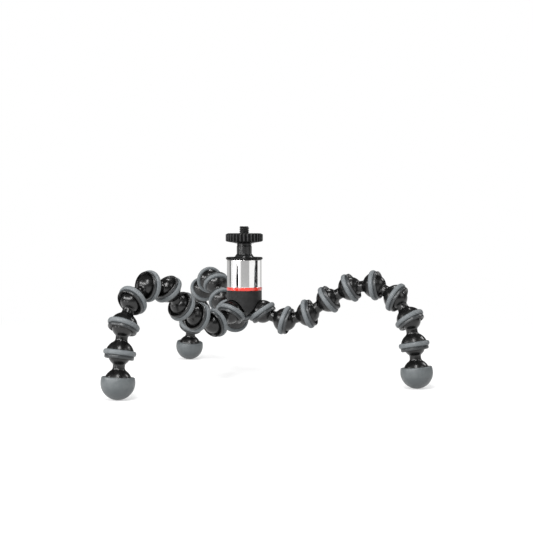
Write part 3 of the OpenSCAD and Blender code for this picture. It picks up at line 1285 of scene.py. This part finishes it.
@dataclass
class Clamp:
    """What holds the head's ball: the collar, the polished sleeve, the accent ring and the ball's seat."""

    ball_r: float
    collar_seat_gap: float = 0.1
    sleeve_wall: float = 1.5
    sleeve_round: float = 0.25
    accent_bore_r: float = 7.85
    accent_round: float = 0.35

    def build(self) -> None:
        """Model and dress the pieces from the collar down, and finish the seat."""
        self.collar()
        self.sleeve()
        self.accent()
        self.seat()

    def collar(self) -> None:
        """Model the thin collar with its round edge and the seat that keeps the ball down."""
        radius, base, top = span("top_collar")
        centre = pivot("stem").z / MM
        edge = (top - base) / 2
        seat_r = self.ball_r + self.collar_seat_gap
        low = math.degrees(math.asin((base - centre) / seat_r))
        high = math.degrees(math.asin((top - centre) / seat_r))
        seat = arc((0.0, centre), seat_r, high, low)
        rim = arc((radius - edge, base + edge), edge, -90, 90, EDGE_STEP)
        fit(turned("top_collar_ring", rim + seat + rim[:1]), "sleeve", "top_collar", COLLAR_SATIN)

    @staticmethod
    def tube(name: str, node: str, bore_r: float, rounding: float) -> Piece:
        """Model a tube with rounded outer edges that fills a node's length.

        Args:
            name: Name of the piece.
            node: The node that gives the outer size and place.
            bore_r: Radius of the bore.
            rounding: Radius of the edges.

        Returns:
            The tube.
        """
        radius, base, top = span(node)
        lower = arc((radius - rounding, base + rounding), rounding, -90, 0, EDGE_STEP)
        upper = arc((radius - rounding, top - rounding), rounding, 0, 90, EDGE_STEP)
        outline = lower + upper + [(bore_r, top), (bore_r, base)] + lower[:1]
        return turned(name, outline, FINE_SEGMENTS)

    def sleeve(self) -> None:
        """Model the polished clamp sleeve."""
        bore_r = span("clamp_sleeve")[0] - self.sleeve_wall
        sleeve = self.tube("polished_sleeve", "clamp_sleeve", bore_r, self.sleeve_round)
        fit(sleeve, "sleeve", "clamp_sleeve", SLEEVE_CHROME)

    def accent(self) -> None:
        """Model the red ring under the sleeve."""
        ring = self.tube("red_ring", "accent_ring", self.accent_bore_r, self.accent_round)
        fit(ring, "hub", "accent_ring", ACCENT_GLOSS)

    @staticmethod
    def seat() -> None:
        """Finish the ball's seat, which keeps its solid."""
        seat = frame["nodes"]["ball_seat"]
        seat.data.materials.clear()
        seat.data.materials.append(SEAT_NYLON.material())
        LOG.info("%s keeps its solid", seat.name)


# Studio


def outward(angle: float, elevation: float = 0.0) -> Vector:
    """Return a direction from the object.

    Args:
        angle: Degrees about the Z axis, from the camera's side towards the right.
        elevation: Degrees above the floor.

    Returns:
        The unit vector.
    """
    turn, rise = math.radians(angle), math.radians(elevation)
    return Vector((math.sin(turn) * math.cos(rise), -math.cos(turn) * math.cos(rise), math.sin(rise)))


def show_in_reflections(prop: Piece, brightness: float) -> None:
    """Make a prop of the studio glow, and hide it from everything but reflections.

    Args:
        prop: The prop.
        brightness: Strength of its plain grey glow, where 1 is white.
    """
    prop.visible_camera = prop.visible_diffuse = prop.visible_shadow = prop.visible_transmission = False
    material = bpy.data.materials.new(prop.name)
    wiring = Wiring.fresh(material)
    shader = wiring.add("ShaderNodeEmission", {"Color": (*WHITE, 1.0), "Strength": brightness})
    wiring.add("ShaderNodeOutputMaterial", {"Surface": shader.outputs[0]})
    prop.data.materials.append(material)


@dataclass
class Card:
    """An upright card that only reflections see, on a circle around the object.

    Angles are in degrees about the Z axis, from the camera's side towards the right.
    """

    name: str
    start: float
    end: float
    brightness: float
    radius: float = 950.0
    top: float = 120.0
    steps: int = 24

    def build(self, floor_z: float) -> None:
        """Stand the card on the floor.

        Args:
            floor_z: Height of the floor, in metres.
        """
        deselect()
        edge = outward(self.start) * self.radius * MM + Vector((0.0, 0.0, floor_z))
        bpy.ops.mesh.primitive_plane_add(size=MM, location=edge)
        card = named(self.name)
        bpy.ops.object.transform_apply(location=True)
        with editing(card):
            bpy.ops.mesh.merge(type="CENTER")
            bpy.ops.mesh.extrude_vertices_move(TRANSFORM_OT_translate={"value": (0.0, 0.0, self.top * MM)})
            bpy.ops.mesh.select_all(action="SELECT")
            sweep = math.radians(self.start - self.end)
            bpy.ops.mesh.spin(steps=self.steps, angle=sweep, center=(0, 0, 0), axis=(0, 0, 1))
        show_in_reflections(card, self.brightness)


@dataclass
class Ceiling:
    """A dim round ceiling over the whole set that only reflections see."""

    brightness: float = 0.07
    radius: float = 1500.0
    edge: float = 3.0

    def build(self) -> None:
        """Turn the ceiling from its edge, an angle above the horizon, up to its crown."""
        outline = arc((0.0, 0.0), self.radius, self.edge, 90.0)
        show_in_reflections(turned("dim_ceiling", outline), self.brightness)


@dataclass
class Lamp:
    """A soft rectangular lamp that faces the hub.

    The angle is in degrees from the camera's side towards the right, and the sizes are millimetres.
    """

    name: str
    angle: float
    elevation: float
    distance: float
    width: float
    height: float
    radiance: float

    def build(self, target: Vector) -> None:
        """Hang the lamp and aim it.

        Args:
            target: The point that the lamp faces, in metres.
        """
        lamp = bpy.data.lights.new(self.name, "AREA")
        lamp.shape = "RECTANGLE"
        lamp.size = self.width * MM
        lamp.size_y = self.height * MM
        lamp.energy = self.radiance * math.pi * lamp.size * lamp.size_y
        holder = bpy.data.objects.new(self.name, lamp)
        bpy.context.scene.collection.objects.link(holder)
        away = outward(self.angle, self.elevation)
        holder.location = target + away * self.distance * MM
        holder.rotation_euler = away.to_track_quat("Z", "Y").to_euler()
        holder.visible_camera = False


@dataclass
class Studio:
    """White floor and background, soft lamps, grey cards and the camera."""

    ambient: float = 0.24
    floor_tone: float = 0.55
    floor_lift: float = 0.5
    floor_near: float = 260.0
    floor_far: float = 520.0
    floor_size: float = 8000.0
    floor_gap: float = 0.05
    target: tuple[float, float, float] = (0.0, 0.0, -45.0)
    camera_place: tuple[float, float, float] = (14.26, -714.5, 4.88)
    camera_pitch: float = 2.10
    camera_lens: float = 75.2
    camera_sensor: float = 36.0
    cards: list[Card] = field(default_factory=lambda: [
        Card("card_camera_side", -21, 34, 0.46),
        Card("card_left_flag", -114, -97, 0.18),
        Card("card_strip_left", -74, -66, 9.0),
        Card("card_strip_front", -46, -34, 7.0),
        Card("card_back_left", -180, -114, 0.5),
        Card("card_right_flag", 78, 101, 0.02),
        Card("card_back_right", 132, 180, 0.58),
    ])
    lamps: list[Lamp] = field(default_factory=lambda: [
        Lamp("softbox_left", -76, 24, 900, 420, 160, 13.0),
        Lamp("softbox_front_left", -34, 25, 900, 640, 160, 16.0),
        Lamp("softbox_right", 62, 30, 900, 420, 420, 2.4),
        Lamp("softbox_back_right", 114, 34, 900, 130, 200, 16.0),
        Lamp("lamp_front_high", -4, 48, 900, 180, 640, 14.0),
        Lamp("lamp_overhead", 175, 62, 900, 200, 130, 20.0),
    ])
    ceiling: Ceiling = field(default_factory=Ceiling)

    def build(self) -> None:
        """Set up everything around the object."""
        floor_z = CAD_BOX[0].z - self.floor_gap * MM
        self.floor(floor_z)
        self.world()
        self.ceiling.build()
        for card in self.cards:
            card.build(floor_z)
        for lamp in self.lamps:
            lamp.build(Vector(self.target) * MM)
        self.camera()
        bpy.context.scene.view_settings.view_transform = "Standard"

    @staticmethod
    def shown(wiring: Wiring) -> Socket:
        """Tell the rays that show the background from those that light the object.

        Args:
            wiring: The wiring of the floor's material or of the world.

        Returns:
            The socket that is 1 for camera, glossy and transmission rays.
        """
        path = wiring.add("ShaderNodeLightPath").outputs
        mirror = wiring.math("MAXIMUM", path["Is Glossy Ray"], path["Is Transmission Ray"])
        return wiring.math("MAXIMUM", path["Is Camera Ray"], mirror)

    def floor(self, floor_z: float) -> None:
        """Lay the floor: pale and shadowed near the object, plain white far away.

        Args:
            floor_z: Height of the floor, in metres.
        """
        deselect()
        bpy.ops.mesh.primitive_plane_add(size=self.floor_size * MM, location=(0.0, 0.0, floor_z))
        floor = named("floor")
        bpy.ops.object.transform_apply(location=True)
        material = bpy.data.materials.new("floor_white")
        wiring = Wiring.fresh(material)
        shown = self.shown(wiring)
        paint = wiring.add("ShaderNodeBsdfDiffuse", {"Color": (self.floor_tone,) * 3 + (1.0,)})
        lift = wiring.add("ShaderNodeEmission", {"Strength": wiring.math("MULTIPLY", shown, self.floor_lift)})
        near = wiring.add("ShaderNodeAddShader", {0: paint.outputs[0], 1: lift.outputs[0]})
        far = wiring.add("ShaderNodeEmission")
        distance = wiring.length(wiring.object_places())
        fade = wiring.ramp(distance, self.floor_near * MM, self.floor_far * MM)
        mask = wiring.math("MULTIPLY", fade, shown)
        blend = wiring.add("ShaderNodeMixShader", {0: mask, 1: near.outputs[0], 2: far.outputs[0]})
        wiring.add("ShaderNodeOutputMaterial", {"Surface": blend.outputs[0]})
        floor.data.materials.append(material)

    def world(self) -> None:
        """Show a white background, with a lower level as light on the object."""
        world = bpy.data.worlds.new("studio")
        bpy.context.scene.world = world
        wiring = Wiring.fresh(world)
        colour = (*WHITE, 1.0)
        light = wiring.add("ShaderNodeBackground", {"Color": colour, "Strength": self.ambient})
        white = wiring.add("ShaderNodeBackground", {"Color": colour})
        shown = self.shown(wiring)
        blend = wiring.add("ShaderNodeMixShader", {0: shown, 1: light.outputs[0], 2: white.outputs[0]})
        wiring.add("ShaderNodeOutputWorld", {"Surface": blend.outputs[0]})

    def camera(self) -> None:
        """Set the camera at the photograph's place and angle."""
        lens = bpy.data.cameras.new("camera")
        lens.lens = self.camera_lens
        lens.sensor_width = self.camera_sensor
        camera = bpy.data.objects.new("camera", lens)
        bpy.context.scene.collection.objects.link(camera)
        camera.location = Vector(self.camera_place) * MM
        camera.rotation_euler = (math.radians(90 - self.camera_pitch), 0.0, 0.0)
        bpy.context.scene.camera = camera


def main() -> None:
    """Build the legs, the hub and the head in order, and then the studio."""
    logging.basicConfig(level=logging.INFO, format="%(name)s: %(message)s")
    joint = BallJoint()
    pitch = (pivot("left_segment_2") - pivot("left_segment_1")).length / MM
    shaft, dome_start = joint.shaft(pitch, joint.dome_r)
    link = turned("link_pattern", shaft + joint.cup(dome_start))
    ring = turned("grip_pattern", joint.grip_outline())
    foot = Foot(joint)
    foot.make_patterns()
    for side in Side:
        Leg(side).build(link, ring, foot)
    Hub(joint).build(ring)
    LockWheel().build()
    stem = BallStem()
    stem.build()
    Clamp(stem.ball_r).build()
    discard(link, ring, foot.core, foot.cap)
    Studio().build()


if __name__ == "__main__":
    main()
